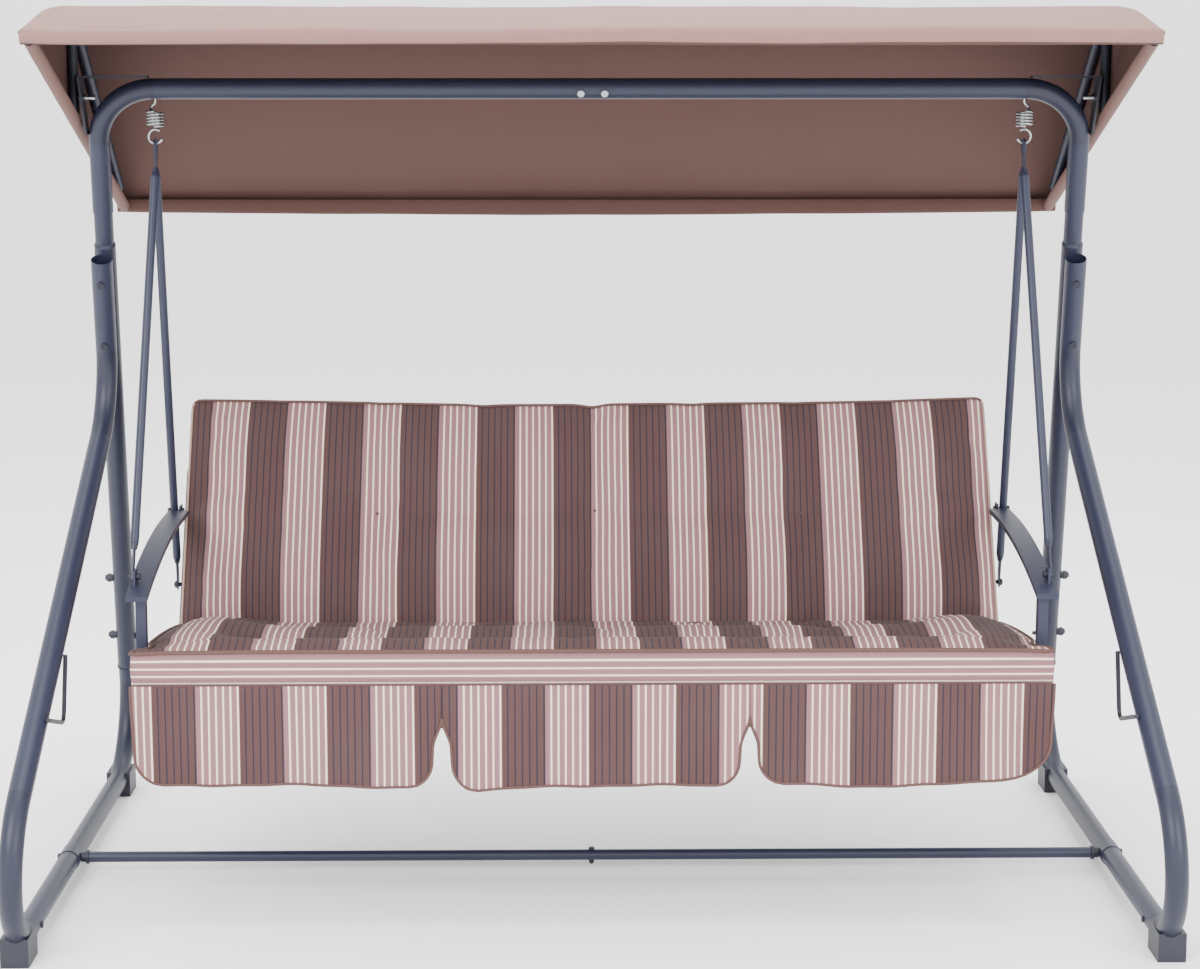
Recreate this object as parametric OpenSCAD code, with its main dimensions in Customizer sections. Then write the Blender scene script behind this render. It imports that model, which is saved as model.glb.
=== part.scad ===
// Canopy swing bench: tubular stand, tilting canopy, bench hung on two springs.
// Millimetres. +X to the sitter's left hand (the viewer's right), -Y the open front,
// +Z up. Origin on the floor, at the centre of the footprint.

/* [Stand] */
// half distance between the two side frames at floor level
base_half = 975; // [850:1:1050]
// inward lean of each side frame, degrees
splay = 3.3; // [0:0.1:6]
// backward lean of the rear legs, degrees from vertical
rear_lean = 24.8; // [15:0.1:32]
// forward lean of the lower front legs, degrees from vertical
front_lean = 54.2; // [35:0.1:60]
// centre height of the floor tubes
base_z = 34; // [24:0.5:45]
// floor-bend radius of the front leg
front_r = 144; // [90:1:180]
// floor-bend radius of the rear leg
rear_r = 140; // [90:1:180]
// distance between the centres of the two floor bends
wheelbase = 912; // [750:1:1000]
// height of the top beam's axis
beam_z = 1456; // [1300:1:1600]
// bend radius of the top beam
beam_r = 110; // [80:1:160]
// outside diameter of the top beam
beam_d = 38; // [32:0.5:45]
// outside diameter of the floor tubes
base_d = 38; // [32:0.5:45]
// outside diameter of the legs
leg_d = 40; // [34:0.5:48]

/* [Bench] */
// half distance between the two springs
spring_x = 789; // [700:1:840]
// half width of the cushions
cushion_half = 790; // [650:1:790]
// backrest lean, degrees from vertical
back_lean = 30; // [15:0.5:35]
// backrest cushion thickness
back_t = 75; // [50:1:100]
// height of the seat cushion's front top edge
seat_z = 492; // [430:1:540]
// hanger tube diameter
hanger_d = 15.5; // [12:0.5:20]

/* [Canopy] */
// half width of the canopy frame's side tubes
canopy_half = 939; // [900:1:960]
// canopy tube diameter
canopy_d = 19; // [16:0.5:25]

/* [Hidden] */
$fn = 48;
// the bend centres straddle the origin so that the footprint is centred
yf = 95 - 548.5;
yr = yf + wheelbase;
wr = rear_r + rear_r * sin(rear_lean);
yq = yr + rear_r * cos(rear_lean);
wq = wr;
nx = cos(rear_lean);
nz = sin(rear_lean);
leg_gap = leg_d + 0.3;
p1y = yf - front_r * cos(front_lean);
p1z = front_r + front_r * sin(front_lean);
knee_r = 140;
knee_a = front_lean + rear_lean;
l1 = (yq * nx + wq * nz - leg_gap - knee_r - p1y * nx - p1z * nz + knee_r * cos(knee_a)) / sin(knee_a);
p2y = p1y + l1 * sin(front_lean);
p2z = p1z + l1 * cos(front_lean);
p3y = p2y - knee_r * cos(front_lean) + knee_r * cos(rear_lean);
p3z = p2z + knee_r * sin(front_lean) + knee_r * sin(rear_lean);
// distance along the rear leg, from its floor bend, level with the knee's end
s3 = (p3z - wq) * cos(rear_lean) - (p3y - yq) * sin(rear_lean);
front_top_s = 1020;
// arch plane, in which the beam and the rear legs lie
beta = atan(tan(rear_lean) / cos(splay));
gamma = asin(cos(rear_lean) * sin(splay));
xr = base_half - wq * sin(splay);
zr = base_z + wq * cos(splay);
tb = (beam_z - zr) / cos(beta);
corner_x = xr - tb * tan(gamma);
tan_l = beam_r * tan((90 - gamma) / 2);
beam_straight = corner_x - tan_l;
beam_y = yq - tb * sin(beta);
seam_s = 1100;
// length of the beam's own down-turned end
beam_drop = tb / cos(gamma) - tan_l - seam_s;
ring_z = beam_z - 99;
// wall of the hollow cushions
shell = 5;
navy = [0.26, 0.28, 0.37];
dark = [0.16, 0.17, 0.23];
plastic = [0.22, 0.23, 0.30];
zinc = [0.80, 0.81, 0.82];
cloth = [0.60, 0.47, 0.46];
stripe = [0.50, 0.38, 0.38];
canopy_c = [0.74, 0.65, 0.63];
// seat pan line: front rail centre and slope
rail_y = 250 - 548.5;
rail_z = 362;
pan = 6.5;
arm_x = 795;

// ---- path helpers: a tube, $d outside and $i inside, built along its own heading ----
module run(l) {
    difference() {
        rotate([0, 0, -90]) cylinder(d = $d, h = l);
        if ($i > 0) translate([0, 0, -1]) rotate([0, 0, -90]) cylinder(d = $i, h = l + 2);
    }
    translate([0, 0, l]) children();
}
// each bend is drawn a hair thinner and reaches half a millimetre into its straight neighbours
module turn(r, a, s = 1) {
    w = s < 0 ? 180 : 0;
    o = 28.6 / r;
    rotate([0, 0, w]) {
        multmatrix([[0, 0, -1, 0], [-1, 0, 0, r], [0, 1, 0, 0], [0, 0, 0, 1]])
            rotate([0, 0, -o]) rotate_extrude(angle = a + 2 * o) translate([r, 0]) difference() {
                circle(d = $d - 0.3);
                if ($i > 0) circle(d = $i + 0.3);
            }
        translate([0, r * (1 - cos(a)), r * sin(a)]) rotate([-a, 0, 0])
            rotate([0, 0, w]) children();
    }
}
// side frame: local Y is world Y, local Z runs up the leaning side frame
module side(s) {
    mirror([s < 0 ? 1 : 0, 0, 0]) translate([base_half, 0, base_z])
        rotate([0, -splay, 0]) children();
}
module flip(s) {
    mirror([s < 0 ? 1 : 0, 0, 0]) children();
}
module head(y, z, a) {
    translate([0, y, z]) rotate([-a, 0, 0]) children();
}
// a point on the rear leg's axis, s above the floor bend, Z along the leg
module on_leg(s) {
    head(yq - s * sin(rear_lean), wq + s * cos(rear_lean), -rear_lean) children();
}
module bar_x(x0, x1, d) {
    translate([x0, 0, 0]) rotate([0, 90, 0]) cylinder(d = d, h = x1 - x0);
}
module tube_x(x0, x1, d, t) {
    difference() {
        bar_x(x0, x1, d);
        bar_x(x0 - 1, x1 + 1, d - 2 * t);
    }
}
// arch plane: local X is world X, local Z runs up the arch
module arch() {
    translate([0, yq, zr]) rotate([beta, 0, 0]) children();
}

// ---- stand ----
seam_x = 33;
bolt_x = [-18, 25];
module beam_half(s) {
    x0 = 0.1 - s * seam_x;
    flip(s) difference() {
        arch() translate([x0, 0, tb]) rotate([0, 90, 0]) rotate([0, 0, -90])
            run(beam_straight - x0, $d = beam_d, $i = beam_d - 2.9)
                turn(beam_r, 90 - gamma, 1, $d = beam_d, $i = beam_d - 2.9)
                    run(beam_drop, $d = beam_d, $i = beam_d - 2.9);
        // hook hole in the underside
        translate([spring_x, beam_y, beam_z - 30]) cylinder(d = 13, h = 30);
        // splice bolt holes, right half only
        if (s > 0) for (x = bolt_x) arch() translate([x, 0, tb]) rotate([90, 0, 0])
            cylinder(d = 8.2, h = 60, center = true);
    }
}
module beam_left() { color(navy) beam_half(-1); }
module beam_right() { color(navy) beam_half(1); }
module beam_splice() {
    color(dark) arch() translate([0, 0, tb]) difference() {
        bar_x(-90, 90, beam_d - 3);
        bar_x(-91, 91, beam_d - 6);
        for (x = bolt_x) translate([x, 0, 0]) rotate([90, 0, 0])
            cylinder(d = 8.2, h = 60, center = true);
    }
}
module beam_bolts() {
    color(zinc) for (x = bolt_x) arch() translate([x, 0, tb]) rotate([90, 0, 0]) {
        translate([0, 0, -24]) cylinder(d = 8, h = 44);
        translate([0, 0, beam_d / 2 + 0.1]) cylinder(d = 13, h = 3);
        translate([0, 0, -beam_d / 2 - 6.1]) cylinder(d = 13, h = 6);
    }
}
module leg_holes() {
    // bolts that clamp the front leg to the rear leg
    for (s = [843, 976]) on_leg(s) rotate([90, 0, 0]) translate([0, 0, -40]) cylinder(d = 8.2, h = 130);
}
module lower_holes() {
    for (s = [108, 254]) on_leg(s) bar_x(-40, 40, 8.2);
}
module rear_leg(s) {
    side(s) difference() {
        on_leg(28) difference() {
            union() {
                cylinder(d = leg_d, h = 1002);
                cylinder(d = leg_d + 2.4, h = 4);
                translate([0, 0, 1002]) cylinder(d1 = leg_d, d2 = 35, h = 6);
                translate([0, 0, 1008]) cylinder(d = 35, h = 124);
            }
            translate([0, 0, -1]) cylinder(d = base_d + 0.1, h = 995);
            translate([0, 0, 990]) cylinder(d = 32.4, h = 150);
        }
        leg_holes();
        lower_holes();
    }
}
module rear_leg_left() { color(navy) rear_leg(-1); }
module rear_leg_right() { color(navy) rear_leg(1); }
coupling_y = 486 - 548.5;
// level hole for the floor bar's end bolt
module cross_hole(s) {
    flip(s) translate([0, coupling_y + 26, base_z]) bar_x(base_half - 40, base_half + 40, 8.2);
}
module rear_base(s) {
    difference() {
        rear_base_tube(s);
        cross_hole(s);
    }
}
module rear_base_tube(s) {
    side(s) difference() {
        union() {
            head(coupling_y, 0, 90) difference() {
                cylinder(d = base_d + 2.8, h = 55);
                translate([0, 0, -1]) cylinder(d = base_d + 0.1, h = 53);
                translate([0, 0, -1]) cylinder(d = base_d - 2.3, h = 60);
            }
            head(coupling_y + 53, 0, 90) run(yr - coupling_y - 53, $d = base_d, $i = base_d - 2.4)
                turn(rear_r, 90 + rear_lean, -1, $d = base_d, $i = base_d - 2.4)
                    run(300, $d = base_d, $i = base_d - 2.4);
        }
        lower_holes();
    }
}
module rear_base_left() { color(navy) rear_base(-1); }
module rear_base_right() { color(navy) rear_base(1); }
front_end_y = 150 - 548.5;
module front_base(s) {
    difference() {
        front_base_tube(s);
        cross_hole(s);
    }
}
module front_base_tube(s) {
    side(s) difference() {
        union() {
            head(front_end_y, 0, 90) cylinder(d = base_d, h = coupling_y + 50 - front_end_y);
            head(front_end_y - 40, 0, 90) cylinder(d = 37.4, h = 41);
        }
        head(front_end_y - 41, 0, 90) cylinder(d = 35, h = coupling_y + 92 - front_end_y);
        translate([0, front_end_y - 20, 0]) bar_x(-40, 40, 6.2);
    }
}
module front_base_left() { color(navy) front_base(-1); }
module front_base_right() { color(navy) front_base(1); }
module front_leg(s) {
    side(s) difference() {
        head(front_end_y - 0.2, 0, -90)
            run(front_end_y - 0.2 - yf, $d = leg_d, $i = leg_d - 2.5)
                turn(front_r, 90 + front_lean, 1, $d = leg_d, $i = leg_d - 2.5)
                    run(l1, $d = leg_d, $i = leg_d - 2.5)
                        turn(knee_r, knee_a, -1, $d = leg_d, $i = leg_d - 2.5)
                            run(front_top_s - s3, $d = leg_d, $i = leg_d - 2.5);
        leg_holes();
        translate([0, front_end_y - 20, 0]) bar_x(-40, 40, 6.2);
    }
}
module front_leg_left() { color(navy) front_leg(-1); }
module front_leg_right() { color(navy) front_leg(1); }
module front_foot(s) {
    flip(s) difference() {
        translate([952, -548.5, 0]) cube([48, 77, 50]);
        side(1) head(yf, 0, -90) turn(front_r, 100, 1, $d = leg_d + 0.4, $i = 0);
        translate([951, -548.5 + 60, 50]) rotate([35, 0, 0]) cube([50, 40, 20]);
    }
}
module front_foot_left() { color(plastic) front_foot(-1); }
module front_foot_right() { color(plastic) front_foot(1); }
module rear_foot(s) {
    flip(s) difference() {
        translate([950, 1034 - 548.5, 0]) cube([48, 77, 50]);
        side(1) head(yr, 0, 90) turn(rear_r, 100, -1, $d = base_d + 0.4, $i = 0);
    }
}
module rear_foot_left() { color(plastic) rear_foot(-1); }
module rear_foot_right() { color(plastic) rear_foot(1); }
bar_end = base_half - base_d / 2 - 1.4 - 14;
module at_cross() {
    translate([0, coupling_y + 26, base_z]) children();
}
module cross_bar_left() {
    color(navy) at_cross() difference() {
        bar_x(-bar_end, 18, 20);
        bar_x(-bar_end - 1, 19, 17.2);
        cylinder(d = 6.2, h = 40, center = true);
    }
}
module cross_bar_right() {
    color(navy) at_cross() difference() {
        union() {
            bar_x(18.1, bar_end, 20);
            bar_x(-40, 20, 17.1);
        }
        bar_x(-41, bar_end + 1, 14.2);
        cylinder(d = 6.2, h = 40, center = true);
    }
}
module cross_bar_collars() {
    color(dark) for (s = [-1, 1]) flip(s) at_cross() difference() {
        union() {
            bar_x(bar_end + 0.1, bar_end + 5, 26);
            bar_x(bar_end + 5, bar_end + 13.6, 19);
        }
        bar_x(bar_end - 1, bar_end + 20, 8.2);
    }
}
module cross_bar_bolts() {
    color(dark) {
        for (s = [-1, 1]) flip(s) at_cross() {
            bar_x(bar_end - 12, base_half + base_d / 2 + 3.5, 8);
            bar_x(base_half + base_d / 2 + 1.7, base_half + base_d / 2 + 5, 14);
        }
        at_cross() {
            translate([0, 0, -17]) cylinder(d = 6, h = 32);
            translate([0, 0, 10.1]) cylinder(d = 11, h = 4.5, $fn = 64);
            translate([0, 0, -15.1]) cylinder(d = 10, h = 5);
        }
        for (s = [-1, 1]) side(s) translate([0, front_end_y - 20, 0]) {
            bar_x(-22, 21, 6);
            bar_x(leg_d / 2 + 0.1, leg_d / 2 + 2, 12);
            bar_x(-leg_d / 2 - 3, -leg_d / 2 - 0.1, 12);
        }
    }
}
module leg_bolts() {
    color(dark) for (s = [-1, 1]) side(s) for (q = [843, 976]) on_leg(q) rotate([90, 0, 0]) {
        translate([0, 0, -leg_d / 2 - 7]) cylinder(d = 8, h = 2 * leg_d + 11);
        translate([0, 0, leg_d * 1.5 + 0.4]) cylinder(d = 14, h = 3.5);
        translate([0, 0, -leg_d / 2 - 6.1]) cylinder(d = 14, h = 6);
    }
}
module lower_leg_bolts() {
    color(zinc) for (s = [-1, 1]) side(s) for (q = [108, 254]) on_leg(q) {
        bar_x(-leg_d / 2 - 12, leg_d / 2 + 8, 8);
        bar_x(-leg_d / 2 - 5.1, -leg_d / 2 - 0.1, 13);
    }
}
module cap_nuts() {
    color(plastic) for (s = [-1, 1]) side(s) for (q = [108, 254]) on_leg(q) difference() {
        union() {
            bar_x(leg_d / 2 + 0.1, leg_d / 2 + 4, 15);
            bar_x(leg_d / 2 + 4, leg_d / 2 + 11, 18);
            translate([leg_d / 2 + 11, 0, 0]) rotate([0, 90, 0]) cylinder(d1 = 16, d2 = 9, h = 5);
        }
        bar_x(leg_d / 2 - 1, leg_d / 2 + 8.5, 8.1);
    }
}
// bent wire on the inner side of each front leg
module wire_holder(s) {
    side(s) translate([-leg_d / 2 - 4.2, 0, 0])
        head(p1y + 0.37 * l1 * sin(front_lean), p1z + 0.37 * l1 * cos(front_lean), 180)
            run(104, $d = 8, $i = 0) turn(14, 106, 1, $d = 8, $i = 0) run(130, $d = 8, $i = 0);
}
module wire_holder_left() { color(dark) wire_holder(-1); }
module wire_holder_right() { color(dark) wire_holder(1); }

// ---- canopy brackets on the stand ----
piv_y = 592 - 548.5;
piv_z = 1440;
module canopy_bracket(s) {
    flip(s) {
        translate([800, beam_y - 12, beam_z + beam_d / 2 + 0.1]) cube([127, 24, 4]);
        difference() {
            translate([923, 0, beam_z + beam_d / 2 + 4.1]) rotate([0, 3.6, 0])
                rotate([90, 0, 90]) linear_extrude(4) polygon([
                    [beam_y - 12, 0], [piv_y + 14, 0], [piv_y + 26, -106], [piv_y - 4, -106]]);
            translate([0, piv_y, piv_z]) bar_x(900, 940, 8.2);
        }
    }
}
module canopy_bracket_left() { color(navy) canopy_bracket(-1); }
module canopy_bracket_right() { color(navy) canopy_bracket(1); }

// ---- canopy ----
cf = [200 - 548.5, 1543];
cm = [600 - 548.5, 1590];
cr = [1112 - 548.5, 1214];
function ang(a, b) = atan2(b[0] - a[0], b[1] - a[1]);
function dist(a, b) = norm([b[0] - a[0], b[1] - a[1]]);
rc = 60;
ta = ang(cm, cr) - ang(cf, cm);
tl = rc * tan(ta / 2);
module canopy_side(s) {
    flip(s) translate([canopy_half, cf[0], cf[1]]) rotate([-ang(cf, cm), 0, 0]) translate([0, 0, 44])
        run(dist(cf, cm) - tl - 44, $d = canopy_d, $i = canopy_d - 2)
            turn(rc, ta, 1, $d = canopy_d, $i = canopy_d - 2)
                run(dist(cm, cr) - tl - 70, $d = canopy_d, $i = canopy_d - 2);
}
module canopy_side_left() { color(navy) canopy_side(-1); }
module canopy_side_right() { color(navy) canopy_side(1); }
module canopy_hem(s) {
    flip(s) translate([canopy_half, cf[0], cf[1]]) rotate([-ang(cf, cr), 0, 0])
        run(dist(cf, cr), $d = canopy_d, $i = canopy_d - 2);
}
module canopy_hem_left() { color(navy) canopy_hem(-1); }
module canopy_hem_right() { color(navy) canopy_hem(1); }
function hem_z(y) = cf[1] + (cr[1] - cf[1]) * (y - cf[0]) / (cr[0] - cf[0]);
module canopy_strut(s) {
    flip(s) difference() {
        translate([canopy_half, piv_y, hem_z(piv_y) + 6])
            run(1568 - hem_z(piv_y), $d = canopy_d, $i = canopy_d - 2);
        // saddle over the lower side tube
        translate([canopy_half, cf[0], cf[1]]) rotate([-ang(cf, cr), 0, 0])
            cylinder(d = canopy_d + 0.3, h = dist(cf, cr));
        translate([0, piv_y, piv_z]) bar_x(900, 960, 8.2);
    }
}
module canopy_strut_left() { color(navy) canopy_strut(-1); }
module canopy_strut_right() { color(navy) canopy_strut(1); }
module canopy_cross_bars() {
    color(navy) for (p = [[cf[0], cf[1]], [cr[0], cr[1]], [cm[0] - 14, 1566]])
        translate([0, p[0], p[1]])
            tube_x(-canopy_half + canopy_d / 2 + 2, canopy_half - canopy_d / 2 - 2, canopy_d, 1);
}
module canopy_pivots() {
    color(zinc) for (s = [-1, 1]) flip(s) translate([0, piv_y, piv_z]) {
        bar_x(900, canopy_half + canopy_d / 2 + 2, 8);
        bar_x(canopy_half + canopy_d / 2 + 0.1, canopy_half + canopy_d / 2 + 2.6, 13);
        bar_x(913.9, 919.9, 13);
    }
}
module canopy_plugs() {
    color(plastic) for (s = [-1, 1]) flip(s) translate([canopy_half, cf[0], cf[1]])
        rotate([-ang(cf, cr), 0, 0]) translate([0, 0, -4.1]) cylinder(d = 22, h = 4);
}
cover_x = canopy_half + 13;
module cover_profile(o) {
    polygon([
        [cf[0] - 14 + o, cf[1] - 12 - (o > 0 ? 40 : 0)],
        [cf[0] - 14 + o, cf[1] + 15 - o * 0.9],
        [cf[0] + 195, cm[1] + 8 - o],
        [cm[0] - 10, cm[1] + 15 - o],
        [cm[0] + 40, cm[1] + 0 - o * 1.15],
        [cr[0] + 14 - o, cr[1] + 11 - o * 0.9],
        [cr[0] + 14 - o, cr[1] - 14 - (o > 0 ? 40 : 0)]
    ]);
}
module canopy_cover() {
    color(canopy_c) difference() {
        rotate([90, 0, 90]) linear_extrude(2 * cover_x + 6, center = true) cover_profile(0);
        rotate([90, 0, 90]) linear_extrude(2 * cover_x, center = true) cover_profile(3);
    }
}

// ---- springs ----
module spring_coil(x) {
    turns = 5;
    n = 18;
    m = 8;
    r = 14.6;
    w = 2.1;
    h = 27;
    z0 = ring_z + 31.5;
    steps = turns * n;
    pts = [for (i = [0:steps]) for (j = [0:m - 1])
        let (a = 360 * i / n, b = 360 * j / m)
        [x + (r + w * cos(b)) * cos(a), beam_y + (r + w * cos(b)) * sin(a), z0 + h * i / steps + w * sin(b)]];
    faces = concat(
        [[for (j = [0:m - 1]) j]],
        [for (i = [0:steps - 1]) for (j = [0:m - 1])
            [i * m + j, (i + 1) * m + j, (i + 1) * m + (j + 1) % m, i * m + (j + 1) % m]],
        [[for (j = [m - 1:-1:0]) steps * m + j]]);
    polyhedron(points = pts, faces = faces, convexity = 10);
}
module spring_left() { color(zinc) flip(-1) spring_coil(spring_x); }
module spring_right() { color(zinc) spring_coil(spring_x); }
module spring_hooks() {
    // hook that rises through the beam's underside and rests on its inner wall
    color(zinc) for (s = [-1, 1]) flip(s) translate([spring_x, beam_y, 0]) {
        translate([0, 0, ring_z + 63]) cylinder(d = 4.2, h = beam_z - ring_z - 63 - 15.3);
        translate([0, 0, beam_z - 15.3]) bar_x(-9, 9, 4.2);
        translate([0, 0, ring_z + 63]) bar_x(-2, 16, 4.2);
    }
}
module spring_rings() {
    color(zinc) for (s = [-1, 1]) flip(s) translate([spring_x, beam_y, ring_z + 14]) {
        rotate([90, 0, 0]) rotate([0, 0, 132]) rotate_extrude(angle = 276) translate([14, 0]) circle(d = 4.2);
        translate([14, 0, 0]) cylinder(d = 4.2, h = 14);
    }
}

// ---- hangers: eye at the ring, flat bolted end at the bench ----
module hanger(top, bottom, mid = 0) {
    d = bottom - top;
    l = norm(d);
    yaw = asin(d[0] / l);
    pitch = atan2(d[1], -d[2]);
    difference() {
        translate(top) rotate([pitch, 0, 0]) rotate([0, -yaw, 0]) mirror([0, 0, 1]) {
            translate([-1.5, -9, -7]) cube([3, 18, 60]);
            translate([0, 0, 46]) cylinder(d1 = 9, d2 = hanger_d, h = 16.5);
            translate([0, 0, 62]) run(l - 62 - 62, $d = hanger_d, $i = hanger_d - 3);
            translate([0, 0, l - 62.5]) cylinder(d1 = hanger_d, d2 = 10, h = 14);
            translate([-1.6, -9.5, l - 58]) cube([3.2, 19, 65]);
        }
        translate([0, top[1], top[2]]) bar_x(top[0] - 12, top[0] + 12, 8);
        translate([0, bottom[1], bottom[2]]) bar_x(bottom[0] - 20, bottom[0] + 20, 8.2);
        if (mid > 0) translate([0, mid_y, mid]) bar_x(bottom[0] - 20, bottom[0] + 20, 6.2);
    }
}
fh = [808, 295 - 548.5, 612];
rh = [808, 828 - 548.5, 490];
ft = [spring_x - 2, beam_y, ring_z];
rt = [spring_x + 2, beam_y, ring_z];
mid_z = 645;
mid_y = rt[1] + (rh[1] - rt[1]) * (ring_z - mid_z) / (ring_z - rh[2]);
module hanger_front_left() { color(navy) flip(-1) hanger(ft, fh); }
module hanger_front_right() { color(navy) hanger(ft, fh); }
module hanger_rear_left() { color(navy) flip(-1) hanger(rt, rh, mid_z); }
module hanger_rear_right() { color(navy) hanger(rt, rh, mid_z); }

// ---- bench frame ----
module pan_frame() {
    translate([0, rail_y, rail_z]) rotate([-pan, 0, 0]) children();
}
module seat_side(s) {
    flip(s) pan_frame() difference() {
        translate([774, -16, -14]) cube([22, 560, 28]);
        translate([775.5, -17, -12.5]) cube([19, 562, 25]);
    }
}
module seat_side_left() { color(navy) seat_side(-1); }
module seat_side_right() { color(navy) seat_side(1); }
module seat_cross_rails() {
    color(navy) pan_frame() for (y = [0, 175, 350, 515])
        translate([0, y, 0]) tube_x(-773.8, 773.8, y == 0 || y == 515 ? 28 : 22, 1.2);
}
module seat_sling() {
    color(dark) pan_frame() translate([-745, -10, 14.2]) cube([1490, 535, 3]);
}
back_o = [712 - 548.5, 470];
module back_plane() {
    translate([0, back_o[0], back_o[1]]) rotate([-back_lean, 0, 0]) children();
}
up_off = back_t + 2 + 12.5;
module back_frame() {
    color(navy) back_plane() translate([0, up_off, 0]) difference() {
        union() {
            translate([-790, 0, -130]) rotate([0, 0, -90])
                run(435, $d = 25, $i = 22.6) turn(50, 90, 1, $d = 25, $i = 22.6)
                    run(1480, $d = 25, $i = 22.6) turn(50, 90, 1, $d = 25, $i = 22.6)
                        run(435, $d = 25, $i = 22.6);
            translate([0, 0, 150]) tube_x(-779, 779, 19, 1.1);
        }
        rotate([back_lean, 0, 0]) translate([0, -back_o[0] - up_off * cos(back_lean), -back_o[1] + up_off * sin(back_lean)])
            pan_frame() translate([-850, -100, -200]) cube([1700, 800, 214.05]);
        rotate([back_lean, 0, 0]) translate([0, rh[1] - back_o[0] - up_off * cos(back_lean),
            rh[2] - back_o[1] + up_off * sin(back_lean)]) bar_x(-850, 850, 8.2);
    }
}
module back_sling() {
    color(dark) back_plane() translate([-745, up_off - 12.5 - 1.6, 30]) cube([1490, 1.5, 330]);
}
arm_r = 1700;
arm_z = 643;
arm_a = 15.5;
module arm(s) {
    flip(s) translate([arm_x - 19, 700 - 548.5, arm_z]) {
        translate([0, 0, -5]) cube([38, 68, 10]);
        translate([0, 0, -arm_r]) multmatrix([[0, 0, 1, 0], [0, -1, 0, 0], [1, 0, 0, 0], [0, 0, 0, 1]])
            rotate_extrude(angle = arm_a, $fn = 200) translate([arm_r - 5, 0]) square([10, 38]);
    }
}
module arm_left() { color(navy) arm(-1); }
module arm_right() { color(navy) arm(1); }
module arm_posts() {
    color(navy) for (s = [-1, 1]) flip(s) difference() {
        translate([783, 268 - 548.5, rail_z - 6]) cube([18, 22, 246]);
        translate([700, 700 - 548.5, arm_z - arm_r]) rotate([0, 90, 0]) difference() {
            cylinder(r = arm_r + 100, h = 200, $fn = 200);
            translate([0, 0, -1]) cylinder(r = arm_r - 5.1, h = 202, $fn = 200);
        }
        pan_frame() translate([700, -16, -14]) cube([200, 560, 28.05]);
    }
}
module arm_ears() {
    color(navy) for (s = [-1, 1]) flip(s) {
        difference() {
            translate([801.8, fh[1] - 14, 570]) cube([4, 28, 54]);
            translate([0, fh[1], fh[2]]) bar_x(790, 820, 8.2);
            translate([700, 700 - 548.5, arm_z - arm_r]) rotate([0, 90, 0]) cylinder(r = arm_r + 5.05, h = 200, $fn = 200);
        }
        difference() {
            translate([790.2, 768.05 - 548.5, 634]) cube([4, 25, 22]);
            translate([0, mid_y, mid_z]) bar_x(780, 820, 6.2);
        }
    }
}
module bench_bolts() {
    color(zinc) for (s = [-1, 1]) flip(s) {
        translate([0, fh[1], fh[2]]) {
            bar_x(794, 816, 8);
            bar_x(809.9, 814, 14);
            bar_x(795, 801.6, 13);
        }
        translate([0, rh[1], rh[2]]) {
            bar_x(770, 816, 8);
            bar_x(809.9, 814, 14);
        }
        translate([0, mid_y, mid_z]) {
            bar_x(786, 818, 6);
            bar_x(813.2, 817, 12);
            bar_x(786, 790, 11);
        }
    }
}

// ---- cushions ----
module seat_cushion() {
    color(cloth) difference() {
        rotate([90, 0, 90]) linear_extrude(2 * cushion_half, center = true) polygon([
            [203 - 548.5, seat_z - 105.5], [205 - 548.5, seat_z],
            [708 - 548.5, seat_z - 57.3], [706 - 548.5, seat_z - 162.8]]);
        for (s = [-1, 1]) flip(s) translate([774, 264 - 548.5, 300]) cube([60, 30, 300]);
        // the cover is a closed shell, its light filling is left out
        rotate([90, 0, 90]) linear_extrude(2 * (774 - shell), center = true) polygon([
            [203.1 - 548.5 + shell, seat_z - 106.5 + shell], [204.9 - 548.5 + shell, seat_z - shell],
            [707.9 - 548.5 - shell, seat_z - 56.3 - shell], [706.1 - 548.5 - shell, seat_z - 162.8 + shell]]);
    }
}
module seat_skirt() {
    color(stripe) translate([0, 200 - 548.5, 0]) rotate([90, 0, 0]) linear_extrude(4) difference() {
        union() {
            translate([-806, 285]) square([1612, 147]);
            for (x = [-536, 0, 536]) {
                translate([x - 225, 246]) square([450, 100]);
                translate([x - 248, 286]) square([496, 60]);
                for (k = [-1, 1]) translate([x + k * 208, 286]) circle(r = 40);
            }
        }
        for (k = [-1, 1]) translate([k * 268, 0]) polygon([[-20, 240], [-20, 290], [0, 378], [20, 290], [20, 240]]);
    }
}
module back_cushion() {
    color(cloth) back_plane() translate([-cushion_half, 0, -26]) difference() {
        cube([2 * cushion_half, back_t, 456]);
        translate([shell, shell, shell])
            cube([2 * (cushion_half - shell), back_t - 2 * shell, 456 - 2 * shell]);
    }
}

beam_left();
beam_right();
beam_splice();
beam_bolts();
rear_leg_left();
rear_leg_right();
rear_base_left();
rear_base_right();
front_leg_left();
front_leg_right();
front_base_left();
front_base_right();
front_foot_left();
front_foot_right();
rear_foot_left();
rear_foot_right();
cross_bar_left();
cross_bar_right();
cross_bar_collars();
cross_bar_bolts();
leg_bolts();
lower_leg_bolts();
cap_nuts();
wire_holder_left();
wire_holder_right();
canopy_bracket_left();
canopy_bracket_right();
canopy_side_left();
canopy_side_right();
canopy_hem_left();
canopy_hem_right();
canopy_strut_left();
canopy_strut_right();
canopy_cross_bars();
canopy_pivots();
canopy_plugs();
canopy_cover();
spring_left();
spring_right();
spring_hooks();
spring_rings();
hanger_front_left();
hanger_front_right();
hanger_rear_left();
hanger_rear_right();
seat_side_left();
seat_side_right();
seat_cross_rails();
seat_sling();
back_frame();
back_sling();
arm_left();
arm_right();
arm_posts();
arm_ears();
bench_bolts();
seat_cushion();
seat_skirt();
back_cushion();
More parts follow.
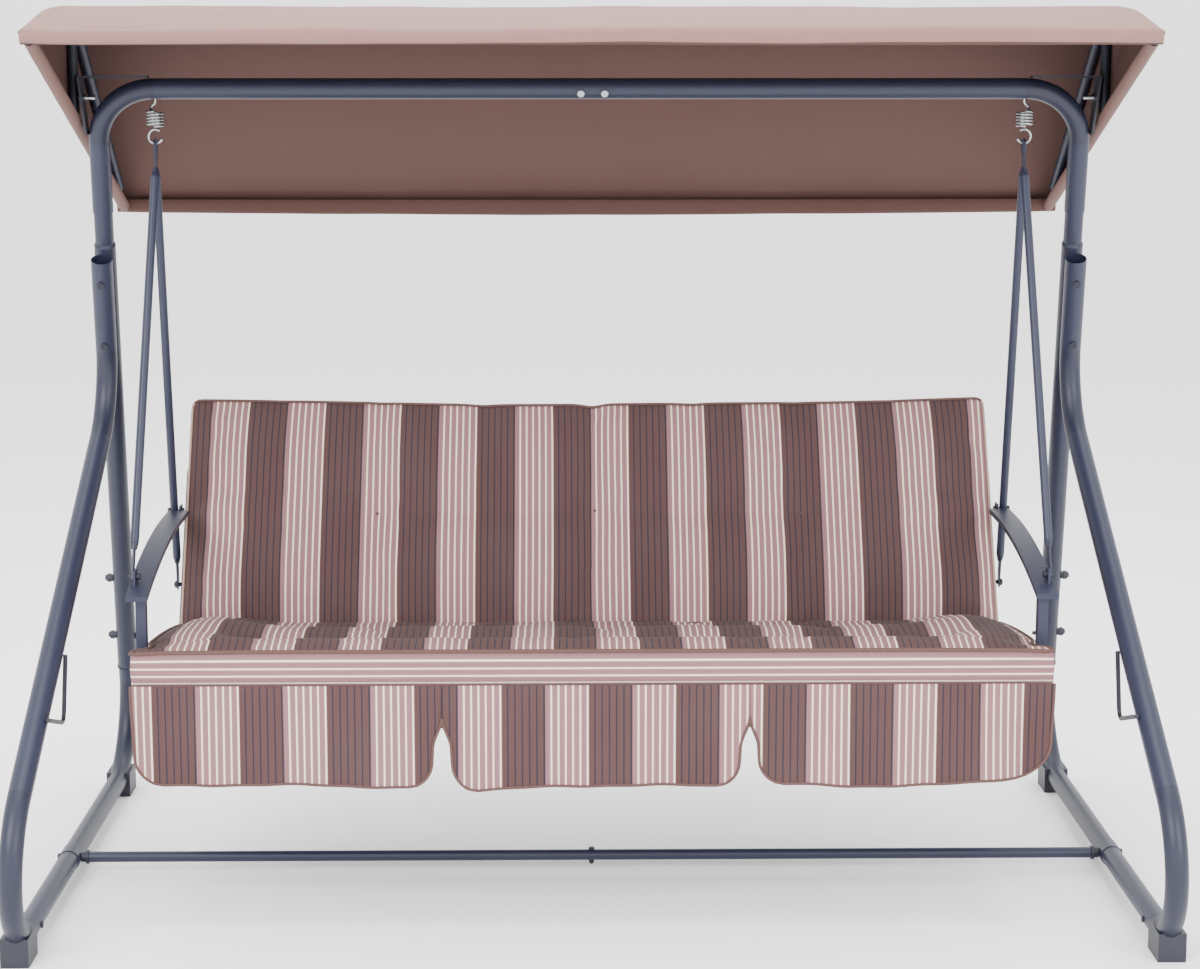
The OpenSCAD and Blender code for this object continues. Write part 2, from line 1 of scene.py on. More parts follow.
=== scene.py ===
import bpy, math
import numpy as np
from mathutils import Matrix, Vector


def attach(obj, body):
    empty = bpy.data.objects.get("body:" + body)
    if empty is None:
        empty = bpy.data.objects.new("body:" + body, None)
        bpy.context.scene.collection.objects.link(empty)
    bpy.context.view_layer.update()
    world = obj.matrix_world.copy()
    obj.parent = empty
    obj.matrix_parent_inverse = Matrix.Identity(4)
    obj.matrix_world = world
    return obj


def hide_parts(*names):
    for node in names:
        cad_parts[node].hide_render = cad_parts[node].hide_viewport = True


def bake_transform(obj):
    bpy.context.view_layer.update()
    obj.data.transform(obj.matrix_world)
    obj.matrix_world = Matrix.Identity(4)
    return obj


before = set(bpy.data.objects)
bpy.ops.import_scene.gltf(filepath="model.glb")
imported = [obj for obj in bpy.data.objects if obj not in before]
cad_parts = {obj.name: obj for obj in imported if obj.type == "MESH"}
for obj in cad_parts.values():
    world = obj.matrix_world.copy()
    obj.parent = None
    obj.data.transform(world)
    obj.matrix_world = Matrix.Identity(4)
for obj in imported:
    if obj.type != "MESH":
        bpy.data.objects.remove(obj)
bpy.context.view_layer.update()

Y0 = -0.5485                      # the front feet's front faces, in the row frame
BEAM_Y, RING_Z, SPRING_X = 0.01926, 1.357, 0.789    # the beam, the ring the bench hangs on, a spring


# ---------------------------------------------------------------- materials
class Mat:
    """A small helper that wires procedural node materials."""

    def __init__(self, name, rough=0.5, metal=0.0):
        self.m = bpy.data.materials.new(name)
        self.m.use_nodes = True
        self.t = self.m.node_tree
        self.b = self.t.nodes["Principled BSDF"]
        self.b.inputs["Roughness"].default_value = rough
        self.b.inputs["Metallic"].default_value = metal
        self.coord = self.t.nodes.new("ShaderNodeTexCoord")

    def node(self, kind, **props):
        n = self.t.nodes.new(kind)
        for k, v in props.items():
            setattr(n, k, v)
        return n

    def link(self, a, b):
        self.t.links.new(a, b)

    def val(self, x, sock):
        if hasattr(x, "links"):
            self.link(x, sock)
        else:
            sock.default_value = x

    def math(self, op, a, b=0.0, c=0.0, clamp=False):
        n = self.node("ShaderNodeMath", operation=op, use_clamp=clamp)
        self.val(a, n.inputs[0])
        self.val(b, n.inputs[1])
        self.val(c, n.inputs[2])
        return n.outputs[0]

    def smooth(self, x, lo, hi):
        n = self.node("ShaderNodeMapRange", interpolation_type="SMOOTHSTEP")
        self.val(x, n.inputs["Value"])
        n.inputs["From Min"].default_value = lo
        n.inputs["From Max"].default_value = hi
        return n.outputs["Result"]

    def mix(self, fac, a, b):
        n = self.node("ShaderNodeMix", data_type="RGBA")
        self.val(fac, n.inputs[0])
        for x, s in ((a, n.inputs[6]), (b, n.inputs[7])):
            if hasattr(x, "links"):
                self.link(x, s)
            else:
                s.default_value = (*x, 1.0)
        return n.outputs[2]

    def noise(self, scale, detail=2.0, rough=0.5, vec=None, stretch=None):
        n = self.node("ShaderNodeTexNoise")
        n.inputs["Scale"].default_value = scale
        n.inputs["Detail"].default_value = detail
        n.inputs["Roughness"].default_value = rough
        v = vec or self.coord.outputs["Object"]
        if stretch:
            mp = self.node("ShaderNodeMapping")
            mp.inputs["Scale"].default_value = stretch
            self.link(v, mp.inputs["Vector"])
            v = mp.outputs[0]
        self.link(v, n.inputs["Vector"])
        return n.outputs["Fac"]

    def bump(self, height, strength=0.2, dist=0.001, after=None):
        n = self.node("ShaderNodeBump")
        n.inputs["Strength"].default_value = strength
        n.inputs["Distance"].default_value = dist
        self.link(height, n.inputs["Height"])
        if after is not None:
            self.link(after, n.inputs["Normal"])
        return n.outputs[0]

    def out(self, color=None, rough=None, normal=None):
        for x, k in ((color, "Base Color"), (rough, "Roughness"), (normal, "Normal")):
            if x is not None:
                if hasattr(x, "links"):
                    self.link(x, self.b.inputs[k])
                else:
                    self.b.inputs[k].default_value = (*x, 1.0) if k == "Base Color" else x
        return self.m


def lin(r, g, b):
    f = lambda c: c / 12.92 if c <= 0.04045 else ((c + 0.055) / 1.055) ** 2.4
    return tuple(f(x / 255) for x in (r, g, b))


def powder(name, base, dark, rough=0.42):
    m = Mat(name, rough)
    big = m.noise(9, 3)
    fine = m.noise(900, 3, 0.6)
    geo = m.node("ShaderNodeNewGeometry")
    # painted highlight: convex edges, found by pointiness, are lightened towards a brighter navy, standing in
    # for light caught on the edges
    edge = m.smooth(geo.outputs["Pointiness"], 0.505, 0.56)
    col = m.mix(m.math("MULTIPLY", big, 0.55), base, dark)
    col = m.mix(m.math("MULTIPLY", edge, 0.35), col, tuple(min(1, 1.7 * x) for x in base))
    r = m.math("ADD", rough - 0.05, m.math("MULTIPLY", fine, 0.14))
    m.b.inputs["Specular IOR Level"].default_value = 0.32
    m.b.inputs["Coat Weight"].default_value = 0.04
    m.b.inputs["Coat Roughness"].default_value = 0.3
    n1 = m.bump(fine, 0.12, 0.0006)
    return m.out(col, r, n1)


def zinc(name):
    m = Mat(name, 0.25, 1.0)
    streak = m.noise(60, 4, 0.6, stretch=(1, 1, 6))
    fine = m.noise(700, 2)
    col = m.mix(streak, (0.20, 0.21, 0.22), (0.42, 0.43, 0.44))
    r = m.math("ADD", 0.16, m.math("MULTIPLY", streak, 0.22))
    return m.out(col, r, m.bump(fine, 0.08, 0.0003))


def moulded(name, base):
    m = Mat(name, 0.5)
    grain = m.noise(450, 4, 0.7)
    tone = m.noise(12, 2)
    col = m.mix(m.math("MULTIPLY", tone, 0.5), base, tuple(x * 0.6 for x in base))
    r = m.math("ADD", 0.42, m.math("MULTIPLY", grain, 0.2))
    return m.out(col, r, m.bump(grain, 0.25, 0.0006))


def rest_axis(m, axis):
    a = m.node("ShaderNodeAttribute", attribute_name="rest")
    s = m.node("ShaderNodeSeparateXYZ")
    m.link(a.outputs["Vector"], s.inputs[0])
    return s.outputs["XYZ".index(axis)], a.outputs["Vector"]


def weave(m, vec, pitch=0.0016):
    """Height of a plain weave, from the flat cloth's own coordinates."""
    s = m.node("ShaderNodeSeparateXYZ")
    m.link(vec, s.inputs[0])
    k = 2 * math.pi / pitch
    warp = m.math("SINE", m.math("MULTIPLY", s.outputs[0], k))
    weft = m.math("SINE", m.math("MULTIPLY", s.outputs[1], k))
    h = m.math("MULTIPLY", warp, weft)
    slub = m.noise(320, 3, 0.6, vec=vec, stretch=(1, 0.15, 1))
    return m.math("ADD", m.math("MULTIPLY", h, 0.5), slub)


BROWN, NAVYLINE = (0.066, 0.033, 0.031), (0.018, 0.013, 0.024)
MAUVE, CREAM = (0.235, 0.120, 0.132), (0.78, 0.66, 0.51)


def striped(name, x0, axis="X", only_light=False, pitch=0.0125):
    """Six fine lines to each 75 mm band; brown bands with navy lines, mauve bands with cream lines."""
    m = Mat(name, 0.88)
    x, vec = rest_axis(m, axis)
    u = m.math("DIVIDE", m.math("SUBTRACT", x, x0), pitch)
    f = m.math("FRACT", m.math("ADD", u, 600.0))
    d = m.math("ABSOLUTE", m.math("SUBTRACT", f, 0.8))
    dark_line = m.smooth(d, 0.125, 0.070)
    light_line = m.smooth(d, 0.150, 0.085)
    mid = m.smooth(m.math("ABSOLUTE", m.math("SUBTRACT", f, 0.3)), 0.16, 0.05)
    slub = m.noise(160, 3, 0.6, vec=vec, stretch=(1, 0.05, 1))
    cloud = m.noise(6, 2, vec=vec)
    mauve = m.mix(m.math("MULTIPLY", mid, 0.35), MAUVE, (0.185, 0.090, 0.104))
    light = m.mix(light_line, mauve, CREAM)
    if only_light:
        col = light
    else:
        band = m.math("FRACT", m.math("ADD", m.math("DIVIDE", u, 12.0), 50.0))
        dark = m.mix(dark_line, BROWN, NAVYLINE)
        col = m.mix(m.math("GREATER_THAN", band, 0.5), light, dark)
    col = m.mix(m.math("MULTIPLY", slub, 0.20), col, (0.02, 0.012, 0.012))
    col = m.mix(m.math("MULTIPLY", cloud, 0.03), col, (0.5, 0.4, 0.38))
    m.b.inputs["Sheen Weight"].default_value = 0.02
    m.b.inputs["Specular IOR Level"].default_value = 0.2
    return m.out(col, 0.9, m.bump(weave(m, vec), 0.25, 0.0005))


def cloth(name, base, deep, pitch=0.0014, underside_shade=None, rough=0.85):
    m = Mat(name, rough)
    _, vec = rest_axis(m, "X")
    big = m.noise(3.0, 4, 0.6, vec=vec)
    slub = m.noise(260, 3, 0.6, vec=vec, stretch=(0.08, 1, 1))
    col = m.mix(m.math("MULTIPLY", big, 0.45), base, deep)
    col = m.mix(m.math("MULTIPLY", slub, 0.18), col, tuple(x * 0.5 for x in deep))
    # painted shade: faces seen from behind, on the canopy's underside, take a darker brown that stands in for
    # the shade under the cloth
    if underside_shade:
        geo = m.node("ShaderNodeNewGeometry")
        col = m.mix(geo.outputs["Backfacing"], col, m.mix(slub, underside_shade, tuple(x * 0.75 for x in underside_shade)))
    m.b.inputs["Sheen Weight"].default_value = 0.02
    m.b.inputs["Specular IOR Level"].default_value = 0.25
    return m.out(col, rough, m.bump(weave(m, vec, pitch), 0.22, 0.0004))


NAVY, NAVY_DEEP = (0.0140, 0.0160, 0.0330), (0.0085, 0.0098, 0.0200)
M_POWDER = powder("powder_coat_navy", NAVY, NAVY_DEEP)
M_DARK = powder("powder_coat_dark", (0.010, 0.011, 0.019), (0.006, 0.007, 0.011), 0.5)
M_ZINC = zinc("zinc_plated_steel")
M_PLASTIC = moulded("moulded_navy_plastic", (0.0095, 0.0105, 0.0210))
# painted shade: the canopy fabric's colour darkened for its shaded underside
CANOPY_UNDERSIDE_SHADE = (0.083, 0.040, 0.034)
M_CANOPY = cloth("canopy_polyester", (0.228, 0.128, 0.112), (0.192, 0.106, 0.092), underside_shade=CANOPY_UNDERSIDE_SHADE)
M_HEM = cloth("canopy_hem_roll", (0.150, 0.082, 0.070), (0.118, 0.062, 0.054))
M_BACK = striped("striped_back", 0.004)
M_SEAT = striped("striped_seat", 0.006)
M_SKIRT = striped("striped_skirt", 0.068, pitch=0.01264)
M_BOX = striped("striped_boxing", 0.0046, "Z", True, 0.0129)
M_PIPE = cloth("piping_brown", (0.098, 0.050, 0.045), (0.075, 0.038, 0.034))
M_CREAM = cloth("piping_cream", (0.36, 0.25, 0.20), (0.30, 0.20, 0.16))
M_SLING = cloth("sling_mesh", lin(52, 54, 62), lin(38, 40, 48), 0.003)
M_THREAD = cloth("tuft_thread", lin(86, 62, 62), lin(70, 50, 50), 0.002)

ZINC_NODES = ("beam_bolts", "canopy_pivots", "spring")
DARK_NODES = ("wire_holder", "leg_bolts", "lower_leg_bolts", "bench_bolts", "cross_bar_bolts",
              "cross_bar_collars", "canopy_bracket", "canopy_strut")
for name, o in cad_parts.items():
    if name.startswith(ZINC_NODES):
        mat = M_ZINC
    elif "foot" in name or name in ("cap_nuts", "canopy_plugs"):
        mat = M_PLASTIC
    elif name.startswith(DARK_NODES):
        mat = M_DARK
    else:
        mat = M_POWDER
    for s in o.material_slots:
        s.material = mat


# ---------------------------------------------------------------- mesh helpers
def mesh_obj(name, verts, faces, body, mats, rest=None, face_mat=None):
    """A smooth mesh that rides on body; rest holds each vertex's place on the flat cloth."""
    me = bpy.data.meshes.new(name)
    points = [tuple(v) for v in np.asarray(verts, float)]
    me.from_pydata(points, [], [tuple(int(i) for i in f) for f in faces])
    me.update()
    o = bpy.data.objects.new(name, me)
    bpy.context.scene.collection.objects.link(o)
    for m in mats if isinstance(mats, (list, tuple)) else [mats]:
        me.materials.append(m)
    if face_mat is not None:
        me.polygons.foreach_set("material_index", np.asarray(face_mat, np.int32))
    me.polygons.foreach_set("use_smooth", [True] * len(me.polygons))
    a = me.attributes.new("rest", "FLOAT_VECTOR", "POINT")
    a.data.foreach_set("vector", np.asarray(verts if rest is None else rest, np.float32).ravel())
    if body:
        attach(o, body)
    return o


def frames_along(pts, closed=False):
    """Two directions across the path at each point, carried along without twist."""
    pts = np.asarray(pts, float)
    n = len(pts)
    if closed:
        tan = np.roll(pts, -1, 0) - np.roll(pts, 1, 0)
    else:
        tan = np.gradient(pts, axis=0)
    tan /= np.linalg.norm(tan, axis=1)[:, None]
    up = np.array([0, 0, 1.0]) if abs(tan[0][2]) < 0.9 else np.array([0, 1.0, 0])
    a = np.cross(tan[0], up)
    a /= np.linalg.norm(a)
    A = [a]
    for i in range(1, n):
        a = A[-1] - tan[i] * (A[-1] @ tan[i])
        A.append(a / np.linalg.norm(a))
    A = np.array(A)
    return A, np.cross(tan, A)


def tube_mesh(pts, radius, sides, closed):
    """Vertices, faces and flat coordinates of a tube along pts, with end caps unless it is closed."""
    pts = np.asarray(pts, float)
    r = np.broadcast_to(radius, (len(pts),)).astype(float)
    A, B = frames_along(pts, closed)
    ang = 2 * np.pi * np.arange(sides) / sides
    cos, sin = np.cos(ang)[None, :, None], np.sin(ang)[None, :, None]
    V = pts[:, None] + r[:, None, None] * (cos * A[:, None] + sin * B[:, None])
    n = len(pts)
    F = []
    for i in range(n if closed else n - 1):
        j = (i + 1) % n
        for k in range(sides):
            l = (k + 1) % sides
            F.append((i * sides + k, i * sides + l, j * sides + l, j * sides + k))
    V = V.reshape(-1, 3)
    length = np.concatenate([[0], np.cumsum(np.linalg.norm(np.diff(pts, axis=0), axis=1))])
    R = np.zeros_like(V)
    R[:, 0] = np.repeat(length, sides)
    R[:, 1] = np.tile(np.arange(sides) * 2 * np.pi * r.mean() / sides, n)
    if not closed:
        F.append(tuple(range(sides - 1, -1, -1)))
        F.append(tuple((n - 1) * sides + k for k in range(sides)))
    return V, F, R


def tube(name, pts, radius, body, mat, sides=12, closed=False):
    V, F, R = tube_mesh(pts, radius, sides, closed)
    return mesh_obj(name, V, F, body, mat, R)


def spline(ctrl, n):
    """Catmull-Rom through control points."""
    P = np.asarray(ctrl, float)
    P = np.vstack([2 * P[0] - P[1], P, 2 * P[-1] - P[-2]])
    seg = len(P) - 3
    out = []
    for t in np.linspace(0, seg, n):
        i = min(int(t), seg - 1)
        u = t - i
        a, b, c, d = P[i:i + 4]
        square, cube = 2 * a - 5 * b + 4 * c - d, 3 * b - a - 3 * c + d
        out.append(0.5 * (2 * b + (c - a) * u + square * u * u + cube * u ** 3))
    return np.array(out)


def subdivide(o, levels):
    s = o.modifiers.new("smooth", "SUBSURF")
    s.levels = s.render_levels = levels
    return o


def coords(o):
    v = np.empty(len(o.data.vertices) * 3)
    o.data.vertices.foreach_get("co", v)
    return v.reshape(-1, 3)


def set_coords(o, v):
    o.data.vertices.foreach_set("co", np.asarray(v, np.float32).ravel())
    o.data.update()


def puff(o, pins, pressure=4.0, frames=20, cap=0.028, shrink=-0.01, stiff=12.0):
    """Inflates a closed pad with Cloth pressure; pins is a weight per vertex."""
    g = o.vertex_groups.new(name="pin")
    for w in np.unique(np.round(pins, 2)):
        if w > 0:
            g.add([int(i) for i in np.where(np.round(pins, 2) == w)[0]], float(w), "REPLACE")
    before = coords(o)
    c = o.modifiers.new("cloth", "CLOTH")
    s = c.settings
    s.use_pressure = True
    s.uniform_pressure_force = pressure
    s.tension_stiffness = s.compression_stiffness = stiff
    s.shear_stiffness = 6
    s.bending_stiffness = 0.6
    s.mass = 0.35
    s.quality = 5
    s.shrink_min = shrink
    s.vertex_group_mass = "pin"
    s.pin_stiffness = 1.0
    s.effector_weights.gravity = 0
    c.collision_settings.use_collision = False
    c.point_cache.frame_start = 1
    c.point_cache.frame_end = frames
    sc = bpy.context.scene
    for f in range(1, frames + 1):
        sc.frame_set(f)
    dg = bpy.context.evaluated_depsgraph_get()
    me = o.evaluated_get(dg).to_mesh()
    after = np.empty(len(me.vertices) * 3)
    me.vertices.foreach_get("co", after)
    after = after.reshape(-1, 3)
    o.evaluated_get(dg).to_mesh_clear()
    o.modifiers.remove(c)
    o.vertex_groups.remove(g)
    sc.frame_set(1)
    d = after - before
    l = np.linalg.norm(d, axis=1)
    k = np.where(l > cap, cap / np.maximum(l, 1e-9), 1.0)
    set_coords(o, before + d * k[:, None])


def lid(nx, ny, nz, shape):
    """A closed grid box: calls shape(u, v, w) for points on its surface, u v w from 0 to 1.
    Returns verts, faces, face side names, and an index lookup."""
    index, V, UVW = {}, [], []

    def vid(i, j, k):
        key = (i, j, k)
        if key not in index:
            index[key] = len(V)
            UVW.append((i / nx, j / ny, k / nz))
            V.append(shape(i / nx, j / ny, k / nz))
        return index[key]

    F, side = [], []

    def quad(a, b, c, d, s):
        F.append((vid(*a), vid(*b), vid(*c), vid(*d)))
        side.append(s)

    for i in range(nx):
        for j in range(ny):
            quad((i, j, nz), (i + 1, j, nz), (i + 1, j + 1, nz), (i, j + 1, nz), "top")
            quad((i, j + 1, 0), (i + 1, j + 1, 0), (i + 1, j, 0), (i, j, 0), "bottom")
    for i in range(nx):
        for k in range(nz):
            quad((i, 0, k), (i + 1, 0, k), (i + 1, 0, k + 1), (i, 0, k + 1), "front")
            quad((i + 1, ny, k), (i, ny, k), (i, ny, k + 1), (i + 1, ny, k + 1), "rear")
    for j in range(ny):
        for k in range(nz):
            quad((0, j + 1, k), (0, j, k), (0, j, k + 1), (0, j + 1, k + 1), "left")
            quad((nx, j, k), (nx, j + 1, k), (nx, j + 1, k + 1), (nx, j, k + 1), "right")
    return np.array(V), F, side, index, np.array(UVW)


def bell(x, w):
    """A bump of height 1 and half-width w at x = 0."""
    return np.exp(-(np.asarray(x) / w) ** 2)


def s01(x, a, b):
    """A smooth step from 0 at a to 1 at b."""
    t = np.clip((np.asarray(x, float) - a) / (b - a), 0, 1)
    return t * t * (3 - 2 * t)


def lobe(y, a, b, p=0.7):
    """An arch from 0 at a over 1 back to 0 at b; a smaller p is fuller."""
    t = np.clip((np.asarray(y, float) - a) / (b - a), 0, 1)
    return np.sin(np.pi * t) ** p


# ---------------------------------------------------------------- seat cushion
TUFTS = (-0.41, 0.008, 0.41)      # across the bench, in both cushions
QUILT = (0.345, 0.565)            # the seat's two quilted lines, from the front feet
S_FRONT, S_REAR, S_HALF = 0.206, 0.703, 0.786
TOP_EDGE = 1 - 1e-6               # grid rows from here up are the upper seam


def plane_top(y):
    return 0.4895 - (y - 0.205) * 0.1139


def seat_half(y):
    """Half width of the seat: flush with the skirt in front, drawn in round the arm posts."""
    return 0.803 - 0.026 * s01(y, 0.243, 0.260) + 0.009 * s01(y, 0.298, 0.325)


def end_taper(x, start, width):
    """Brings a cushion's crown down to its seam at both ends."""
    return 1 - np.clip((np.abs(x) - start) / width, 0, 1) ** 2.2


def seat_top(x, y):
    """Height of the seat's upper panel over its seam plane, y measured from the front feet."""
    dome = 0.038 * lobe(y, 0.195, 0.71, 0.65)
    rows = (0.026 * lobe(y, 0.196, 0.352, 0.75) + 0.017 * lobe(y, 0.335, 0.575) + 0.010 * lobe(y, 0.555, 0.71)
            - 0.013 * bell(y - QUILT[0], 0.022) - 0.010 * bell(y - QUILT[1], 0.022))
    c = 1 - s01(np.abs(x), 0.585, 0.70)
    h = dome * (1 - c) + rows * c
    for tx in TUFTS:
        for ty in QUILT:
            r = np.hypot(x - tx, (y - ty) * 1.3)
            h = h - 0.012 * bell(r, 0.045) * c
            h = h + 0.0022 * np.cos(7 * np.arctan2(y - ty, x - tx)) * bell(r - 0.05, 0.035) * c
    return h * end_taper(x * S_HALF / float(seat_half(y)), 0.692, 0.111)


def seat_shape(u, v, w):
    y = S_FRONT + v * (S_REAR - S_FRONT)
    half = float(seat_half(y))
    x = (2 * u - 1) * half
    top = plane_top(y)
    z = top - 0.100 * (1 - w)
    if w == 1:
        z = top + float(seat_top(x, y)) * 0.8
    # the front face is recessed under the boxing, behind the skirt
    if v < 1e-9 and w < 0.45:
        y += 0.010
    # corners are eased in plan
    k = max(0.0, abs(x) - (half - 0.02)) / 0.02
    e = max(0.0, (S_FRONT + 0.02 - y) / 0.02, (y - S_REAR + 0.02) / 0.02)
    if k > 0 and e > 0:
        x -= math.copysign((0.001 if y < 0.3 else 0.006) * k * e, x)
    return (x, Y0 + y, z)


nx, ny, nz = ((148, 46, 9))
V, F, side, index, UVW = lid(nx, ny, nz, seat_shape)
below_seam = V[:, 2] - plane_top(V[:, 1] - Y0)
rest = np.column_stack([V[:, 0], V[:, 1] - Y0, np.where(UVW[:, 2] >= 1, 0, below_seam)])
fm = [{"top": 0, "bottom": 2}.get(s, 1) for s in side]
seat = mesh_obj("seat_cushion_pad", V, F, "bench", [M_SEAT, M_BOX, M_PIPE], rest,
                face_mat=fm)
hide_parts("seat_cushion")
u, v, w = UVW.T
pins = np.zeros(len(V))
on_edge = (u < 1e-6) | (u > TOP_EDGE) | (v < 1e-6) | (v > TOP_EDGE)
pins[on_edge & (w > TOP_EDGE)] = 1
pins[on_edge & (w < 1e-6)] = 1
pins[(w < 1e-6)] = 1
pins[on_edge & (w > 0) & (w < 1) & (v < 1e-6)] = 0.85
yv = V[:, 1] - Y0
for ty in QUILT:
    line = (w > TOP_EDGE) & (np.abs(yv - ty) < 0.009) & (np.abs(V[:, 0]) < 0.60)
    pins[line] = np.maximum(pins[line], 0.55)
    for tx in TUFTS:
        pins[(w > TOP_EDGE) & (np.hypot(V[:, 0] - tx, yv - ty) < 0.016)] = 1
puff(seat, pins, pressure=3.2, cap=0.022, shrink=-0.012)
SV = coords(seat)


def seam_edges(o, index, test, crease=0.85):
    """Creases the seam edges so that smoothing keeps them crisp."""
    me = o.data
    inv = {i: k for k, i in index.items()}
    att = me.attributes.new("crease_edge", "FLOAT", "EDGE")
    val = np.zeros(len(me.edges), np.float32)
    for e in me.edges:
        a, b = inv[e.vertices[0]], inv[e.vertices[1]]
        if test(a) and test(b):
            val[e.index] = crease
    att.data.foreach_set("value", val)


def perimeter(index, nx, ny, k):
    return ([index[(i, 0, k)] for i in range(nx)] + [index[(nx, j, k)] for j in range(ny)]
            + [index[(i, ny, k)] for i in range(nx, 0, -1)] + [index[(0, j, k)] for j in range(ny, 0, -1)])


edge_of = lambda a: a[0] in (0, nx) or a[1] in (0, ny)
seam_edges(seat, index, lambda a: edge_of(a) and a[2] in (0, nz))
subdivide(seat, 1)


def relaxed(P, times=3):
    P = np.array(P)
    for _ in range(times):
        P = 0.5 * P + 0.25 * (np.roll(P, 1, 0) + np.roll(P, -1, 0))
    return P


ring = relaxed(SV[perimeter(index, nx, ny, nz)], 2)
centre = np.array([0, Y0 + 0.455, 0.46])
out = ring - centre
out[:, 2] = 0
out /= np.linalg.norm(out, axis=1)[:, None]
pipe_path = ring + out * 0.0012 + [0, 0, 0.0005]
tube("seat_piping_top", pipe_path, 0.0036, "bench", M_PIPE, 8, closed=True)
# the boxing's lower seam, a stitched cord along the front
low = np.array([[x, Y0 + S_FRONT - 0.0005, plane_top(S_FRONT) - 0.0553 + 0.0015 * math.sin(5 * x + 1)]
                for x in np.linspace(-0.799, 0.799, 120)])
tube("seat_boxing_seam", low, 0.0014, "bench", M_THREAD, 6)

# ---------------------------------------------------------------- back cushion
C30, S30 = math.cos(math.radians(30)), math.sin(math.radians(30))
B_O = np.array([0, Y0 + 0.712, 0.470])
B_T, B_N = np.array([0, S30, C30]), np.array([0, C30, -S30])
B_LO, B_HI, B_HALF, B_TUFT = -0.042, 0.436, 0.786, 0.195


def back_front(x, t):
    """How far the front panel stands proud of its seam plane, towards the sitter."""
    h = (0.020 * lobe(t, B_LO - 0.002, B_TUFT + 0.035, 0.6)
         + 0.017 * lobe(t, B_TUFT - 0.035, B_HI + 0.002, 0.6))
    h = h - 0.003 * bell(t - B_TUFT, 0.010) * (1 - s01(np.abs(x), 0.40, 0.46))
    for tx in TUFTS:
        r = np.hypot(x - tx, t - B_TUFT)
        h = h - 0.010 * bell(r, 0.030)
        h = h + 0.0016 * np.cos(6 * np.arctan2(t - B_TUFT, x - tx) + 0.6) * bell(r - 0.045, 0.03)
    # the fold that runs from the top seam down to the middle tuft
    up = s01(t, B_TUFT - 0.01, B_TUFT + 0.06)
    h = h - 0.0075 * bell(x - 0.008, 0.011) * up + 0.003 * bell(x - 0.030, 0.018) * up
    for px, a in ((-0.41, 1.0), (-0.21, 1.0), (0.21, 0.8), (0.41, 1.0), (-0.61, 0.6), (0.60, 0.6)):
        h = h - 0.0045 * a * bell(x - px, 0.014) * s01(t, B_HI - 0.11, B_HI - 0.005)
    h = h + 0.012 * bell(t - 0.03, 0.07)
    return h * end_taper(x, 0.70, 0.086)


def back_top_line(x):
    return (B_HI - 0.014 * (1 - (x / B_HALF) ** 2) - 0.006 * bell(x - 0.008, 0.02)
            - 0.002 * bell(x + 0.21, 0.03) - 0.002 * bell(x - 0.2, 0.03) + 0.0012 * math.sin(9 * x))


def back_shape(u, v, w):
    x = (2 * u - 1) * B_HALF
    t = B_LO + v * (back_top_line(x) - B_LO)
    n = 0.017 + (1 - w) * 0.044
    if w == 1:
        n -= float(back_front(x, t)) * 0.75
    if w == 0:
        n += 0.010 * float(lobe(u, 0, 1, 0.4) * lobe(v, 0, 1, 0.4))
    p = B_O + B_T * t + B_N * n
    return (x, p[1], p[2])


bx, by, bz = ((148, 42, 5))
V, F, side, bindex, UVW = lid(bx, by, bz, back_shape)
u, v, w = UVW.T
t = (V - B_O) @ B_T
n = (V - B_O) @ B_N
rest = np.column_stack([V[:, 0], t, -(n - 0.017)])
back = mesh_obj("back_cushion_pad", V, F, "bench", [M_BACK, M_BACK, M_PIPE], rest,
                face_mat=[{"top": 0, "bottom": 2}.get(s, 1) for s in side])
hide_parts("back_cushion")
pins = np.zeros(len(V))
on_edge = (u < 1e-6) | (u > TOP_EDGE) | (v < 1e-6) | (v > TOP_EDGE)
pins[on_edge & ((w > TOP_EDGE) | (w < 1e-6))] = 1
front = w > TOP_EDGE
line = front & (np.abs(t - B_TUFT) < 0.006) & (np.abs(V[:, 0]) < 0.45)
pins[line] = 0.35
for tx in TUFTS:
    pins[front & (np.hypot(V[:, 0] - tx, t - B_TUFT) < 0.014)] = 1
pins[front & (np.abs(V[:, 0] - 0.008) < 0.006) & (t > B_TUFT)] = 0.5
pins[w < 1e-6] = np.maximum(pins[w < 1e-6], 0.9)
puff(back, pins, pressure=3.0, cap=0.020, shrink=-0.010)
BV = coords(back)
bedge = lambda a: a[0] in (0, bx) or a[1] in (0, by)
seam_edges(back, bindex, lambda a: bedge(a) and a[2] in (0, bz))
subdivide(back, 1)
ring = relaxed(BV[perimeter(bindex, bx, by, bz)], 2)
edge_dir = np.zeros_like(ring)
at_side = np.abs(ring[:, 0]) > B_HALF - 0.004
edge_dir[at_side, 0] = np.sign(ring[at_side, 0])
edge_dir[((ring - B_O) @ B_T > 0.39) & ~at_side] = B_T
pipe_path = ring + edge_dir * 0.001 - B_N * 0.0006
for side_name, path, radius, mat in (
        ("right", pipe_path[bx:bx + by + 1], 0.0023, M_CREAM),
        ("top", pipe_path[bx + by:2 * bx + by + 1], 0.0027, M_PIPE),
        ("left", np.vstack([pipe_path[2 * bx + by:], pipe_path[:1]]), 0.0023, M_CREAM)):
    tube(f"back_piping_{side_name}", path, radius, "bench", mat, 8)


